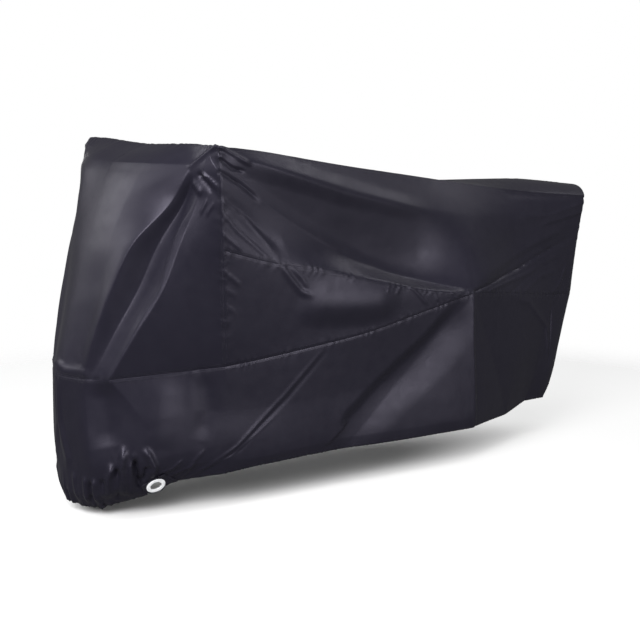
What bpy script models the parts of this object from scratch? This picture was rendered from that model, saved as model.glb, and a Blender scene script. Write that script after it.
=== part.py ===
"""A fitted cover of dark taffeta, as it hangs: a wide nose with two peaks, a sloping roof, a narrow tail.

Metres, +Z up. The nose points to -X and the left side to -Y. The tables give heights above the ground,
and the finished cover is lowered so that the origin is under the roof, against the inside of the cloth.
The cloth is one surface of lofted folds, cut along its seams into panels that are solids of even
thickness. The right half is the left one mirrored, with its peak a little higher and further forward.
"""

import math

import bmesh
import bpy
import numpy as np
from mathutils import Matrix, Vector

# Driving sizes, in metres.
CLOTH = 0.002  # thickness of the cloth
GAP = 0.0003  # between two sewn panels
ROOF_HEIGHT = 1.0075  # the roof's underside above the ground, over the origin
RIGHT_PEAK_RISE = 0.030  # the right peak stands this much higher than the left
PEAK_HEIGHT = 1.12  # the left peak above the ground
PEAK_HALF_WIDTH = 0.42  # its distance from the middle
PEAK_X = -0.55
# How far forward of the left half the right one stands, at its outer edge: (height above the ground, lead).
# Below the first height both halves are alike.
RIGHT_LEAD = (
    (0.44, 0.0), (0.56, -0.024), (0.70, -0.028), (0.83, -0.022), (0.90, 0.004), (0.95, 0.032), (1.03, 0.064),
    (1.09, 0.058), (1.12, 0.028), (1.15, -0.006),
)
LEAD_FULL_FROM = 0.4  # as a share of the half width; nearer the middle the lead fades out
LEVEL_BELOW = 0.55  # the right half stands higher than the left above this height
RIGHT_FOLDS = 0.75  # how deep the right half's own folds are, beside the left's
GATHER_WAY = (0.003, 0.006, 0.0)  # how far the elastic pulls the front hem in and out
GATHER_LEVELS = (2.0, 3.5)  # the level where the gathers start and where they are deepest
GATHER_END = 2.9  # the station where they end
SHARPEST_CORNER = 0.004  # keeps a gap's width within bounds where a panel ends in a point
SHARP_ANGLE = math.radians(50)
CLOTH_LOOK = ((0.012, 0.012, 0.018), 0.38)  # colour and roughness
EYELET_LOOK = ((0.78, 0.79, 0.80), 0.3)

# The lock eyelet and the strip that holds it, round the eyelet's centre.
# The eyelet's profile: radius from its axis, and height above the strip's middle. Its hole is 35 mm wide.
EYELET_PROFILE = (
    (0.0175, -0.0028), (0.0175, 0.0030), (0.0186, 0.0037), (0.0265, 0.0035), (0.0294, 0.0024),
    (0.0300, 0.0013), (0.0200, 0.0013), (0.0200, -0.0013), (0.0270, -0.0013), (0.0270, -0.0023),
    (0.0255, -0.0028),
)
EYELET_STEPS = 28
TAB_HOLE = 0.0203  # radius of the strip's hole
TAB_OUTLINE = ((0.0640, -0.0300), (0.0385, 0.0328), (-0.0365, 0.0328), (-0.0435, -0.0160))  # along, up
TAB_ARC_RADIUS = 0.035  # the strip's lower end, round the eyelet
TAB_ARC = (math.radians(200), math.radians(315))
TAB_ARC_STEPS = 10
TAB_CENTRE = (-0.660, -0.197, 0.100)  # above the ground, on the left side
TAB_RUN = (0.84, -0.34, 0.43)  # the way the hem runs there, rising to the rear
TAB_TUCK = math.radians(38)  # how far the strip is turned under by the elastic

# Folds of the front panel, from its middle to the upright seam, at seven places down the panel.
# fold: (softness, (x, y, z) at each share of the drop)
DROPS = (0.0, 0.08, 0.23, 0.43, 0.63, 0.83, 1.0)
FRONT_FOLDS = {
    "nose": (1.0,
        (-0.570, 0.000, 1.120), (-0.680, 0.000, 1.066), (-0.740, 0.000, 0.960), (-0.785, 0.000, 0.830),
        (-0.820, 0.000, 0.700), (-0.854, 0.000, 0.568), (-0.890, 0.000, 0.436)),
    "cheek": (0.8,
        (-0.569, -0.170, 1.120), (-0.656, -0.180, 1.063), (-0.716, -0.165, 0.959), (-0.768, -0.150, 0.829),
        (-0.800, -0.130, 0.698), (-0.830, -0.115, 0.567), (-0.862, -0.095, 0.434)),
    "bright_edge": (0.5,
        (-0.562, -0.300, 1.120), (-0.594, -0.330, 1.059), (-0.632, -0.295, 0.961), (-0.737, -0.240, 0.833),
        (-0.790, -0.200, 0.702), (-0.828, -0.163, 0.570), (-0.851, -0.128, 0.436)),
    "valley": (0.5,
        (-0.560, -0.345, 1.117), (-0.585, -0.345, 1.057), (-0.596, -0.300, 0.960), (-0.660, -0.250, 0.831),
        (-0.710, -0.215, 0.700), (-0.776, -0.183, 0.569), (-0.834, -0.150, 0.437)),
    "ridge": (0.2,
        (-0.557, -0.380, 1.116), (-0.572, -0.375, 1.056), (-0.581, -0.345, 0.961), (-0.622, -0.315, 0.833),
        (-0.666, -0.290, 0.705), (-0.734, -0.245, 0.574), (-0.800, -0.195, 0.440)),
    "seam": (0.2,
        (-0.549, -0.420, 1.112), (-0.544, -0.415, 1.060), (-0.532, -0.400, 0.962), (-0.517, -0.375, 0.833),
        (-0.498, -0.345, 0.699), (-0.480, -0.315, 0.560), (-0.463, -0.290, 0.458)),
}
FRONT_STEPS = (2, 2, 1, 2, 3)  # columns between one fold and the next

# Sections of the roof and the side, from the upright seam to the rear seam.
# section: (softness, x of the upright line at the roof edge and at the waist, roof middle z,
#           then (y, z) where the roof edge, the strip, the hollow, the sloping seam and the waist cross it)
SIDE_SECTIONS = (
    ("seam", 1.0, -0.549, -0.463, 1.122,
     (-0.420, 1.112), (-0.417, 1.086), (-0.409, 1.030), (-0.371, 0.815), (-0.290, 0.458)),
    ("shoulder", 1.0, -0.350, -0.350, 1.070,
     (-0.371, 1.092), (-0.384, 1.050), (-0.362, 0.928), (-0.363, 0.771), (-0.299, 0.469)),
    ("breast", 1.0, -0.150, -0.150, 1.030,
     (-0.322, 1.067), (-0.343, 1.004), (-0.318, 0.821), (-0.350, 0.734), (-0.312, 0.494)),
    ("middle", 1.0, 0.050, 0.050, 1.004,
     (-0.273, 1.042), (-0.301, 0.955), (-0.284, 0.733), (-0.337, 0.692), (-0.319, 0.521)),
    ("flank", 0.8, 0.280, 0.280, 0.988,
     (-0.217, 1.017), (-0.259, 0.906), (-0.268, 0.672), (-0.322, 0.643), (-0.314, 0.569)),
    ("knee", 0.0, 0.500, 0.500, 0.984,
     (-0.172, 0.991), (-0.228, 0.877), (-0.306, 0.634), (-0.312, 0.614), (-0.312, 0.614)),
    ("haunch", 1.0, 0.800, 0.800, 0.991,
     (-0.142, 0.957), (-0.172, 0.866), (-0.184, 0.732), (-0.220, 0.581), (-0.220, 0.581)),
    ("stern", 1.0, 1.000, 0.990, 0.988,
     (-0.135, 0.939), (-0.149, 0.874), (-0.149, 0.784), (-0.164, 0.557), (-0.164, 0.557)),
    ("tail", 1.0, 1.212, 1.144, 0.966,
     (-0.125, 0.925), (-0.128, 0.890), (-0.126, 0.832), (-0.125, 0.546), (-0.125, 0.546)),
)
SIDE_STEPS = (4, 3, 3, 3, 4, 4, 3, 3)
LINE_SOFTNESS = (0.0, 0.6, 0.7, 0.35, 0.3)  # roof edge, strip, hollow, sloping seam, waist
LINE_CREASED = (0.0, 0.0, 0.1, 1.0, 1.0)  # how far each line takes up a section's crease
LINE_STEPS = (2, 3, 4, 4)
SEAM_DROPS = (0.0, 0.04, 0.125, 0.455, 1.0)  # where those lines meet the upright seam
SLOPING_LINE = 3
KNEE = 5  # the section where the sloping seam runs into the waist
SEAM_FADE = 0.9  # sections over which the side takes up the upright seam's own curve
BULGE_FROM = 7  # the section where the roof starts to round out to the rear
REAR_BULGE = (0.050, 0.092)  # how far the tail's middle stands behind its seams, at the roof and at the waist

FRONT_STATIONS = 5

# The skirt below the waist: level lines round the cover. station: 0 to 5 are the front's folds,
# 5 to 13 the side's sections, 14 the middle of the rear.
# level: (softness, rows of (station, x, y, z))
SKIRT_LEVELS = {
    "shin": (0.8, (0, -0.884, 0.000, 0.330), (1, -0.868, -0.080, 0.322), (2, -0.850, -0.135, 0.316),
             (3, -0.797, -0.182, 0.315), (4, -0.716, -0.228, 0.315), (5, -0.457, -0.270, 0.320),
             (6, -0.350, -0.276, 0.312), (7, -0.150, -0.284, 0.320), (8, 0.050, -0.284, 0.330),
             (9, 0.280, -0.276, 0.350), (10, 0.500, -0.276, 0.360), (11, 0.785, -0.218, 0.360),
             (12, 0.955, -0.163, 0.352), (13, 1.100, -0.122, 0.350), (14, 1.172, 0.000, 0.350)),
    "low": (0.8, (0, -0.880, 0.000, 0.190), (1, -0.864, -0.088, 0.184), (2, -0.842, -0.146, 0.180),
            (3, -0.786, -0.190, 0.182), (4, -0.704, -0.228, 0.190), (5, -0.455, -0.266, 0.215),
            (6, -0.350, -0.271, 0.212), (7, -0.150, -0.275, 0.222), (8, 0.050, -0.274, 0.228),
            (9, 0.280, -0.266, 0.230), (10, 0.500, -0.260, 0.235), (11, 0.780, -0.205, 0.245),
            (12, 0.942, -0.150, 0.250), (13, 1.080, -0.120, 0.262), (14, 1.132, 0.000, 0.270)),
    "brim": (0.6, (0, -0.878, 0.000, 0.088), (1, -0.858, -0.082, 0.080), (2, -0.820, -0.136, 0.080),
             (3, -0.768, -0.180, 0.108), (4, -0.680, -0.226, 0.158), (5, -0.452, -0.258, 0.160),
             (6, -0.350, -0.263, 0.152), (7, -0.150, -0.267, 0.162), (8, 0.050, -0.266, 0.165),
             (9, 0.280, -0.259, 0.165), (10, 0.500, -0.252, 0.166), (11, 0.775, -0.194, 0.180),
             (12, 0.930, -0.138, 0.188), (13, 1.058, -0.116, 0.190), (14, 1.120, 0.000, 0.205)),
}
HEM_FRONT = ((0, -0.860, 0.000, 0.036), (1, -0.836, -0.058, 0.028), (2, -0.792, -0.098, 0.024))
HEM_REST = ((5, -0.451, -0.243, 0.112), (6, -0.350, -0.250, 0.121), (7, -0.150, -0.255, 0.128),
            (8, 0.050, -0.256, 0.128), (9, 0.280, -0.250, 0.126), (10, 0.500, -0.243, 0.127),
            (11, 0.770, -0.186, 0.126), (12, 0.920, -0.130, 0.148), (13, 1.034, -0.112, 0.144),
            (14, 1.094, 0.000, 0.168))
# The hem runs round the eyelet's strip: (station, along the strip, up the strip), from its centre.
HEM_ROUND_TAB = ((3, -0.046, -0.022), (3.5, -0.038, 0.034), (4.333, 0.040, 0.034), (4.667, 0.0665, -0.031))
SKIRT_STEPS = (2, 2, 2, 1)

# Folds that run out from a hard point, as tents of two flat facets, in the side's own plane.
# fold: apex, left foot, crest, right foot, each (x, z) above the ground, and the crest's height
TENTS = {
    "knee_fold": ((0.500, 0.614), (-0.040, 0.100), (0.535, 0.100), (0.780, 0.110), 0.036),
}


def spline(points, softness, where):
    """Points on smooth lines through all rows, at the places where: 0 is the first row, 1 the second.

    A row's softness is 1 where the line runs through it in one curve and 0 where it is creased there.
    """
    points = np.asarray(points, float)
    where = np.asarray(where, float)
    chords = np.diff(points, axis=0)
    lengths = np.maximum(np.linalg.norm(chords, axis=-1, keepdims=True), 1e-9)
    ways = chords / lengths
    leaving, arriving = chords.copy(), chords.copy()
    middle = (ways[:-1] + ways[1:]) / 2
    soft = np.asarray(softness, float)[1:-1]
    soft = soft.reshape(soft.shape + (1,) * (points.ndim - soft.ndim))
    leaving[1:] += soft * (lengths[1:] * middle - chords[1:])
    arriving[:-1] += soft * (lengths[:-1] * middle - chords[:-1])
    row = np.clip(where.astype(int), 0, len(chords) - 1)
    t = (where - row).reshape((-1,) + (1,) * (points.ndim - 1))
    return (
        points[row] * (2 * t**3 - 3 * t**2 + 1)
        + leaving[row] * (t**3 - 2 * t**2 + t)
        + points[row + 1] * (3 * t**2 - 2 * t**3)
        + arriving[row] * (t**3 - t**2)
    )


def places(steps):
    """The places of all lines of a grid that has so many steps between one row of a table and the next."""
    return np.concatenate([[0.0]] + [k + np.arange(1, n + 1) / n for k, n in enumerate(steps)])


def smooth(t):
    t = np.clip(t, 0.0, 1.0)
    return t * t * (3 - 2 * t)


def past_middle(rows):
    """The rows, with the second one's mirror image before the first, so that lines cross the middle smoothly."""
    return np.concatenate([rows[1:2] * (1, -1, 1), rows])


def front(folds_at, drops_at):
    """The left half of the front panel: an array of drops by folds."""
    table = np.array([row[1:] for row in FRONT_FOLDS.values()])
    down = np.interp(drops_at, DROPS, np.arange(len(DROPS)))
    lines = spline(np.swapaxes(table, 0, 1), np.ones(len(DROPS)), down)
    softness = [1.0] + [row[0] for row in FRONT_FOLDS.values()]
    across = spline(past_middle(np.swapaxes(lines, 0, 1)), softness, folds_at + 1)
    return np.swapaxes(across, 0, 1)


def side(lines_at, sections_at, seam):
    """The left side below the roof edge: lines by sections. seam holds its first column."""
    creased = 1 - np.array([row[1] for row in SIDE_SECTIONS])
    softness = 1 - creased[:, None] * np.array(LINE_CREASED)
    table = []
    for _, _, x_top, x_waist, _, *crossings in SIDE_SECTIONS:
        top, bottom = crossings[0][1], crossings[-1][1]
        table.append([(x_top + (x_waist - x_top) * (top - z) / (top - bottom), y, z) for y, z in crossings])
    along = spline(table, softness, sections_at)
    grid = spline(np.swapaxes(along, 0, 1), LINE_SOFTNESS, lines_at)
    fade = 1 - smooth(sections_at / SEAM_FADE)
    return grid + fade[None, :, None] * (seam - grid[:, 0])[:, None, :]


def roof(edge, sections_at, across, top):
    """The left half of the roof: from its middle (across is 0) to its edge. top holds its first column."""
    middle = [[row[2], 0.0, row[4]] for row in SIDE_SECTIONS]
    middle = spline(middle, np.ones(len(SIDE_SECTIONS)), sections_at)
    crown = (1 - across**2)[:, None]
    x = edge[None, :, 0] + crown * (REAR_BULGE[0] * smooth(sections_at - BULGE_FROM))[None, :]
    y = across[:, None] * edge[None, :, 1]
    z = edge[None, :, 2] + crown * (middle[:, 2] - edge[:, 2])[None, :]
    grid = np.stack([x, y, z], axis=-1)
    fade = 1 - smooth(sections_at / SEAM_FADE)
    return grid + fade[None, :, None] * (top - grid[:, 0])[:, None, :]


def rear(seam, across, roof_end):
    """The left half of the rear panel: lines by columns from the seam to the middle."""
    share = (seam[:, 2] - seam[0, 2]) / (seam[-1, 2] - seam[0, 2])
    crown = (1 - across**2)[None, :]
    bulge = REAR_BULGE[0] + share * (REAR_BULGE[1] - REAR_BULGE[0])
    x = seam[:, 0][:, None] + bulge[:, None] * crown
    y = seam[:, 1][:, None] * across[None, :]
    z = seam[:, 2][:, None] + ((1 - share) * (roof_end[0, 2] - seam[0, 2]))[:, None] * crown
    grid = np.stack([x, y, z], axis=-1)
    grid[0] = roof_end[::-1]
    return grid


def tab_axes():
    """The eyelet's strip: its run along the hem, its way up and its outer side, as unit vectors."""
    run = Vector(TAB_RUN).normalized()
    level_out = run.cross(Vector((0, 0, 1))).normalized()
    if level_out.y > 0:
        level_out.negate()
    out = (Matrix.Rotation(TAB_TUCK, 3, run) @ level_out).normalized()
    if out.z > 0:
        out = (Matrix.Rotation(-TAB_TUCK, 3, run) @ level_out).normalized()
    up = out.cross(run).normalized()
    if up.z < 0:
        up.negate()
    return run, up, out


def level_line(rows, softness, stations):
    """Points at these stations on one level line of the skirt."""
    rows = np.array(rows)
    where = np.interp(stations, rows[:, 0], np.arange(len(rows)))
    points = past_middle(past_middle(rows[:, 1:])[::-1])[::-1]
    softness = np.full(len(points), softness)
    softness[[1, -2]] = 1.0
    return spline(points, softness, where + 1)


def hem_rows():
    """The hem's own level line, with the run round the eyelet's strip."""
    run, up, _ = tab_axes()
    round_tab = []
    for station, along, rise in HEM_ROUND_TAB:
        round_tab.append((station, *(Vector(TAB_CENTRE) + along * run + rise * up)))
    return (*HEM_FRONT, *round_tab, *HEM_REST)


def skirt(waist, stations, steps_at):
    """The left half of the skirt: levels by stations. waist holds its first row."""
    levels = [level_line(rows, softness, stations) for softness, *rows in SKIRT_LEVELS.values()]
    hem = level_line(hem_rows(), 0.0, stations)
    softness = [0.0] + [row[0] for row in SKIRT_LEVELS.values()] + [0.0]
    grid = spline([waist, *levels, hem], softness, steps_at)
    pull = smooth((steps_at - GATHER_LEVELS[0]) / (GATHER_LEVELS[1] - GATHER_LEVELS[0]))
    turn = np.cos(math.pi * np.arange(len(stations))) * (stations < GATHER_END) * (stations > 0)
    return grid + pull[:, None, None] * turn[None, :, None] * np.array(GATHER_WAY)


def tent_height(fold, x, z):
    """How far a tent fold stands out at a place of the side."""
    apex, left, crest, right, height = fold
    found = np.zeros_like(x)
    for foot in (left, right):
        (ax, az), (fx, fz), (cx, cz) = apex, foot, crest
        area = (fx - ax) * (cz - az) - (cx - ax) * (fz - az)
        of_crest = ((fx - ax) * (z - az) - (x - ax) * (fz - az)) / area
        of_foot = ((x - ax) * (cz - az) - (cx - ax) * (z - az)) / area
        inside = (of_crest >= 0) & (of_foot >= 0)
        found = np.where(inside, np.maximum(found, of_crest * height), found)
    return found


def raise_tents(grid, share):
    """Raises the side's tent folds on a grid, away from the cover's middle."""
    for fold in TENTS.values():
        grid[..., 1] -= share * tent_height(fold, grid[..., 0], grid[..., 2])


def half_cover(right):
    """The panels of one half: (name, rows by columns of points) for each."""
    columns = places(FRONT_STEPS)
    lines = places(LINE_STEPS)
    sections = places(SIDE_STEPS)
    drops = np.interp(lines, np.arange(len(SEAM_DROPS)), SEAM_DROPS)
    front_grid = front(columns, drops)
    side_grid = side(lines, sections, front_grid[:, -1])
    across = front_grid[0, :, 1] / front_grid[0, -1, 1]
    roof_grid = roof(side_grid[0], sections, across, front_grid[0])
    sloping_row = int(np.argmin(abs(lines - SLOPING_LINE)))
    rear_grid = rear(side_grid[: sloping_row + 1, -1], across[::-1], roof_grid[:, -1])
    waist = np.concatenate([front_grid[-1], side_grid[-1, 1:], rear_grid[-1, 1:]])
    first, last = FRONT_STATIONS, FRONT_STATIONS + len(SIDE_STEPS)
    stations = np.concatenate([columns, first + sections[1:], last + (1 - across[-2::-1])])
    skirt_grid = skirt(waist, stations, places(SKIRT_STEPS))
    raise_tents(skirt_grid[1:], RIGHT_FOLDS if right else 1.0)
    knee_column = int(np.argmin(abs(sections - KNEE)))
    letter = "R" if right else "L"
    panels = (
        ("front_panel", front_grid),
        ("side_panel_" + letter, np.concatenate([roof_grid[:-1], side_grid[: sloping_row + 1]])),
        ("wedge_panel_" + letter, side_grid[sloping_row:, : knee_column + 1]),
        ("rear_panel", rear_grid),
        ("skirt_" + letter, skirt_grid),
    )
    if not right:
        return panels
    return tuple((name, raise_right_peak(grid * (1, -1, 1))) for name, grid in panels)


def raise_right_peak(grid):
    """Lifts the right half's upper part and leads it forward, most at its peak."""
    outward = grid[..., 1] / PEAK_HALF_WIDTH
    height = smooth((grid[..., 2] - LEVEL_BELOW) / (PEAK_HEIGHT - LEVEL_BELOW))
    ahead = np.clip(grid[..., 0] / PEAK_X, 0, 1)
    levels, leads = zip(*RIGHT_LEAD)
    lead = np.interp(grid[..., 2], levels, leads) * ahead * smooth(abs(outward) / LEAD_FULL_FROM)
    return grid + outward[..., None] * np.stack([-lead, 0 * lead, RIGHT_PEAK_RISE * height], axis=-1)


class Cloth:
    """The whole cover as one surface of triangles, each known by its panel."""

    def __init__(self):
        self.index = {}
        self.points = []
        self.panels = {}

    def vertex(self, point):
        key = tuple(np.round(point, 5))
        if key not in self.index:
            self.index[key] = len(self.points)
            self.points.append(point)
        return self.index[key]

    def add(self, panel, grid, turned):
        """Adds a grid as triangles, each four-sided cell cut along its shorter diagonal."""
        faces = self.panels.setdefault(panel, [])
        ids = np.array([[self.vertex(p) for p in row] for row in grid])
        for r in range(len(ids) - 1):
            for c in range(len(ids[0]) - 1):
                cell = [ids[r, c], ids[r + 1, c], ids[r + 1, c + 1], ids[r, c + 1]]
                a, b, c2, d = (self.points[i] for i in cell)
                if np.linalg.norm(a - c2) > np.linalg.norm(b - d):
                    cell = cell[1:] + cell[:1]
                for triangle in ((cell[0], cell[1], cell[2]), (cell[0], cell[2], cell[3])):
                    if len(set(triangle)) == 3:
                        faces.append(triangle[::-1] if turned else triangle)

    def normals(self):
        points = np.array(self.points)
        total = np.zeros_like(points)
        for faces in self.panels.values():
            a, b, c = (points[[f[i] for f in faces]] for i in range(3))
            area = np.cross(b - a, c - a)
            for i in range(3):
                np.add.at(total, [f[i] for f in faces], area)
        return total / np.linalg.norm(total, axis=1, keepdims=True)


def rim_of(faces):
    """The directed edges that only one triangle has."""
    edges = {(f[i], f[(i + 1) % 3]): f for f in faces for i in range(3)}
    return {edge: face for edge, face in edges.items() if edge[::-1] not in edges}


def rim_shift(points, rim):
    """How far each rim point moves into its panel, so that half a gap opens along both its edges."""
    inward = {}
    for (a, b), face in rim.items():
        p, q, r = (points[i] for i in face)
        normal = np.cross(q - p, r - p)
        way = np.cross(normal, points[b] - points[a])
        for end in (a, b):
            inward.setdefault(end, []).append(way / np.linalg.norm(way))
    return {i: GAP / 2 * (w[0] + w[1]) / max(1 + w[0] @ w[1], SHARPEST_CORNER) for i, w in inward.items()}


def panel_solid(name, cloth, normals):
    """A panel as a closed solid: its outer side, its inner side a cloth's thickness in, and its rim."""
    faces = cloth.panels[name]
    rim = rim_of(faces)
    points = np.array(cloth.points)
    for i, shift in rim_shift(points, rim).items():
        points[i] += shift
    used = sorted({i for face in faces for i in face})
    outer = {i: k for k, i in enumerate(used)}
    inner = {i: k + len(used) for k, i in enumerate(used)}
    positions = np.concatenate([points[used], points[used] - CLOTH * normals[used]])
    positions[:, 2] -= ROOF_HEIGHT
    solid = [[outer[i] for i in face] for face in faces]
    solid += [[inner[i] for i in face[::-1]] for face in faces]
    for a, b in rim:
        solid += [[outer[b], outer[a], inner[a]], [outer[b], inner[a], inner[b]]]
    new_object(name, positions.tolist(), solid, *CLOTH_LOOK)


def new_object(name, points, faces, colour, roughness):
    mesh = bpy.data.meshes.new(name)
    mesh.from_pydata(points, [], faces)
    mesh.shade_smooth()
    mesh.set_sharp_from_angle(angle=SHARP_ANGLE)
    material = bpy.data.materials.new(name)
    material.use_nodes = True
    shader = material.node_tree.nodes["Principled BSDF"]
    shader.inputs["Base Color"].default_value = (*colour, 1.0)
    shader.inputs["Roughness"].default_value = roughness
    mesh.materials.append(material)
    bpy.context.scene.collection.objects.link(bpy.data.objects.new(name, mesh))


def tab_frame(right):
    """Where the eyelet's strip lies: local x along the hem, y up the strip, z out of the cloth."""
    run, up, out = tab_axes()
    frame = Matrix((run, up, out)).transposed().to_4x4()
    frame.translation = Vector(TAB_CENTRE) - Vector((0, 0, ROOF_HEIGHT))
    return Matrix.Scale(-1, 4, (0, 1, 0)) @ frame if right else frame


def in_place(mesh_maker, right):
    """Builds a mesh in the strip's own frame and sets it on the hem, mirrored for the right one."""
    bm = mesh_maker()
    bm.transform(tab_frame(right))
    bmesh.ops.recalc_face_normals(bm, faces=bm.faces)
    if bm.calc_volume(signed=True) < 0:
        bmesh.ops.reverse_faces(bm, faces=bm.faces)
    points = [tuple(v.co) for v in bm.verts]
    faces = [[v.index for v in f.verts] for f in bm.faces]
    bm.free()
    return points, faces


def strip_mesh():
    """The strip that holds the eyelet: a small plate with a round hole and a pointed end."""
    bm = bmesh.new()
    outline = [Vector((x, y, CLOTH / 2)) for x, y in TAB_OUTLINE]
    first, last = TAB_ARC
    for k in range(TAB_ARC_STEPS + 1):
        angle = first + (last - first) * k / TAB_ARC_STEPS
        x, y = TAB_ARC_RADIUS * math.cos(angle), TAB_ARC_RADIUS * math.sin(angle)
        outline.append(Vector((x, y, CLOTH / 2)))
    hole = []
    for k in range(EYELET_STEPS):
        angle = 2 * math.pi * k / EYELET_STEPS
        hole.append(Vector((TAB_HOLE * math.cos(angle), TAB_HOLE * math.sin(angle), CLOTH / 2)))
    edges = []
    for loop in (outline, hole):
        verts = [bm.verts.new(p) for p in loop]
        edges += [bm.edges.new((verts[k - 1], verts[k])) for k in range(len(verts))]
    bmesh.ops.triangle_fill(bm, use_beauty=True, use_dissolve=False, edges=edges)
    made = bmesh.ops.extrude_face_region(bm, geom=bm.faces[:])
    moved = [v for v in made["geom"] if isinstance(v, bmesh.types.BMVert)]
    bmesh.ops.translate(bm, vec=(0, 0, -CLOTH), verts=moved)
    bm.verts.index_update()
    return bm


def eyelet_mesh():
    """The eyelet: a ring turned from a profile that grips the strip between two flanges."""
    bm = bmesh.new()
    profile = [bm.verts.new((r, 0, z)) for r, z in EYELET_PROFILE]
    edges = [bm.edges.new((profile[k - 1], profile[k])) for k in range(len(profile))]
    bmesh.ops.spin(bm, geom=profile + edges, cent=(0, 0, 0), axis=(0, 0, 1), angle=2 * math.pi,
                   steps=EYELET_STEPS, use_merge=True)
    bmesh.ops.remove_doubles(bm, verts=bm.verts, dist=1e-5)
    bm.verts.index_update()
    return bm


def clear_scene():
    for old in list(bpy.data.objects):
        bpy.data.objects.remove(old)


def main():
    clear_scene()
    cloth = Cloth()
    for right in (False, True):
        for name, grid in half_cover(right):
            cloth.add(name, grid, turned=right)
    normals = cloth.normals()
    for name in cloth.panels:
        panel_solid(name, cloth, normals)
    for right, letter in ((False, "L"), (True, "R")):
        new_object("lock_patch_" + letter, *in_place(strip_mesh, right), *CLOTH_LOOK)
        new_object("eyelet_" + letter, *in_place(eyelet_mesh, right), *EYELET_LOOK)


main()
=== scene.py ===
"""The cover as it looks: thin sheets of dark taffeta on the folds of the solids, with their seams, creases,
gathers and eyelets."""

import math

import bpy
import numpy as np
from mathutils import Matrix, Vector
from mathutils.kdtree import KDTree


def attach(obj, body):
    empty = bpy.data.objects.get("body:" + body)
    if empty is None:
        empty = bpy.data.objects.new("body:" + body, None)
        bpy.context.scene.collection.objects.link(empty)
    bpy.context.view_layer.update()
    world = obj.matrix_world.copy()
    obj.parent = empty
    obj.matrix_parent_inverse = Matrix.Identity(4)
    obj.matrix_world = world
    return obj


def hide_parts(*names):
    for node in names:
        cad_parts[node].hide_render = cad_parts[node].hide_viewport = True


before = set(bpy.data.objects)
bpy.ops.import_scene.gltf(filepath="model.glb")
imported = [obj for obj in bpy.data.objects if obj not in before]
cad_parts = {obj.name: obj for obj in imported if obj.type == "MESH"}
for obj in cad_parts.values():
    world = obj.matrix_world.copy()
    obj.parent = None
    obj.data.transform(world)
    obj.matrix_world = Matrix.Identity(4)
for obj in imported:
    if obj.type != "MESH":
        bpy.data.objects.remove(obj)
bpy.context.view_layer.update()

ON_MIDDLE = 1e-6  # a point this near y = 0 is on the middle line

# The tables down to TENTS are those of the solids, in metres above the ground, with finer steps between their rows.
ROOF_HEIGHT = 1.0075  # the origin's height above the ground
PEAK_HEIGHT = 1.12
PEAK_HALF_WIDTH = 0.42
PEAK_X = -0.55
TAB_CENTRE = (-0.660, -0.197, 0.100)  # the eyelet's strip
TAB_RUN = (0.84, -0.34, 0.43)  # its way along the hem
TAB_TUCK = math.radians(38)  # how far it leans in under the cover

# How the right half differs from the left one's mirror image.
RIGHT_PEAK_RISE = 0.030
RIGHT_FOLDS = 0.75  # share of the tent folds' height
LEVEL_BELOW = 0.55  # below this height it isn't lifted
# (height above the ground, how far it leads forward there)
RIGHT_LEAD = (
    (0.44, 0.0), (0.56, -0.024), (0.70, -0.028), (0.83, -0.022), (0.90, 0.004), (0.95, 0.032), (1.03, 0.064),
    (1.09, 0.058), (1.12, 0.028), (1.15, -0.006),
)
LEAD_FULL_FROM = 0.4  # as a share of the half width; nearer the middle the lead fades out

# Folds of the front panel, from its middle to the upright seam, at seven places down the panel.
# fold: (softness, (x, y, z) at each share of the drop)
DROPS = (0.0, 0.08, 0.23, 0.43, 0.63, 0.83, 1.0)
FRONT_FOLDS = {
    "nose": (1.0,
        (-0.570, 0.000, 1.120), (-0.680, 0.000, 1.066), (-0.740, 0.000, 0.960), (-0.785, 0.000, 0.830),
        (-0.820, 0.000, 0.700), (-0.854, 0.000, 0.568), (-0.890, 0.000, 0.436)),
    "cheek": (0.8,
        (-0.569, -0.170, 1.120), (-0.656, -0.180, 1.063), (-0.716, -0.165, 0.959), (-0.768, -0.150, 0.829),
        (-0.800, -0.130, 0.698), (-0.830, -0.115, 0.567), (-0.862, -0.095, 0.434)),
    "bright_edge": (0.5,
        (-0.562, -0.300, 1.120), (-0.594, -0.330, 1.059), (-0.632, -0.295, 0.961), (-0.737, -0.240, 0.833),
        (-0.790, -0.200, 0.702), (-0.828, -0.163, 0.570), (-0.851, -0.128, 0.436)),
    "valley": (0.5,
        (-0.560, -0.345, 1.117), (-0.585, -0.345, 1.057), (-0.596, -0.300, 0.960), (-0.660, -0.250, 0.831),
        (-0.710, -0.215, 0.700), (-0.776, -0.183, 0.569), (-0.834, -0.150, 0.437)),
    "ridge": (0.2,
        (-0.557, -0.380, 1.116), (-0.572, -0.375, 1.056), (-0.581, -0.345, 0.961), (-0.622, -0.315, 0.833),
        (-0.666, -0.290, 0.705), (-0.734, -0.245, 0.574), (-0.800, -0.195, 0.440)),
    "seam": (0.2,
        (-0.549, -0.420, 1.112), (-0.544, -0.415, 1.060), (-0.532, -0.400, 0.962), (-0.517, -0.375, 0.833),
        (-0.498, -0.345, 0.699), (-0.480, -0.315, 0.560), (-0.463, -0.290, 0.458)),
}
FRONT_STEPS = (22, 26, 20, 22, 46)  # how many steps of the sheet there are between one fold and the next

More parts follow.
